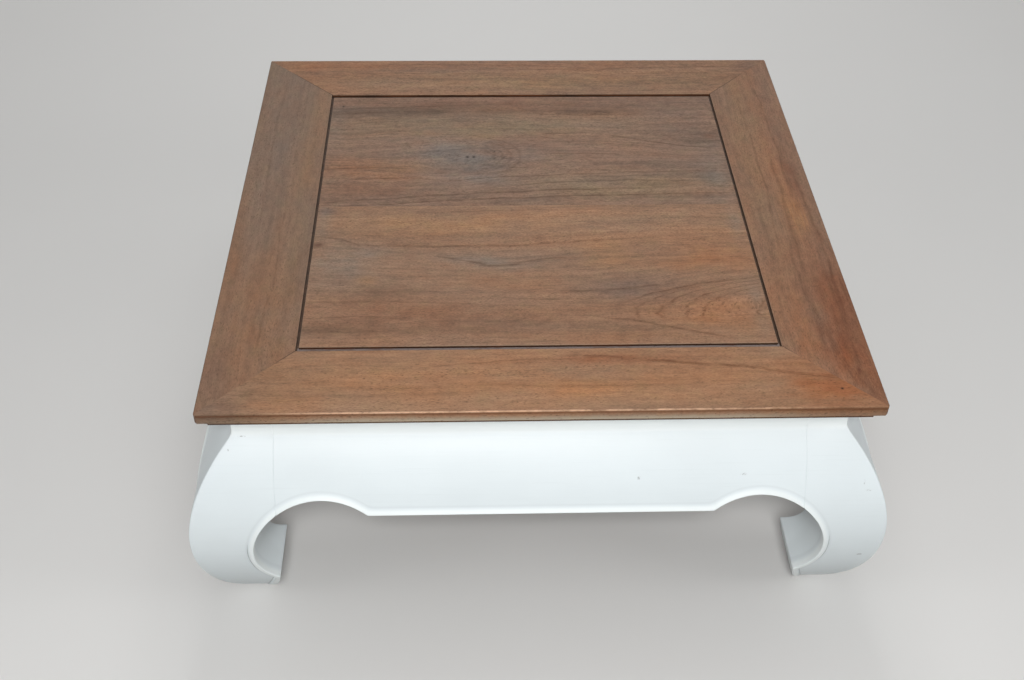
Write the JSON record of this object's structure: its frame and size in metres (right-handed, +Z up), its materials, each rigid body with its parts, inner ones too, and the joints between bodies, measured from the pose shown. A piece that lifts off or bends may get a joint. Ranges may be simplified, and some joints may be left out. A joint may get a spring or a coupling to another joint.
{
  "type": "kang table",
  "caption": "Low square table with a mitred frame-and-panel top on a bulging painted base with inward-turned hoof feet.",
  "frame": {"origin": "on the floor under the middle of the top", "axes": "+Z up, the front faces -Y, +X to the right seen from the front"},
  "size_m": [0.756, 0.756, 0.3],
  "materials": {
    "frame_wood": "bare hardwood, worn and lightly oiled",
    "panel_wood": "bare hardwood with grey-brown figure, worn and lightly oiled",
    "white_paint": "satin white paint over wood",
    "inner_wood": "sawn and planed, unfinished"
  },
  "bodies": {
    "root": {"front_apron": "white_paint", "back_apron": "white_paint", "left_apron": "white_paint", "right_apron": "white_paint", "front_left_leg": "white_paint", "front_right_leg": "white_paint", "back_left_leg": "white_paint", "back_right_leg": "white_paint", "top_front_rail": "frame_wood", "top_back_rail": "frame_wood", "top_left_stile": "frame_wood", "top_right_stile": "frame_wood", "panel_front_board": "panel_wood", "panel_back_board": "panel_wood", "left_batten": "inner_wood", "right_batten": "inner_wood", "mitre_pins": "inner_wood", "loose_tenons": "inner_wood", "front_back_apron_pins": "inner_wood", "side_apron_pins": "inner_wood"}
  },
  "joints": []
}
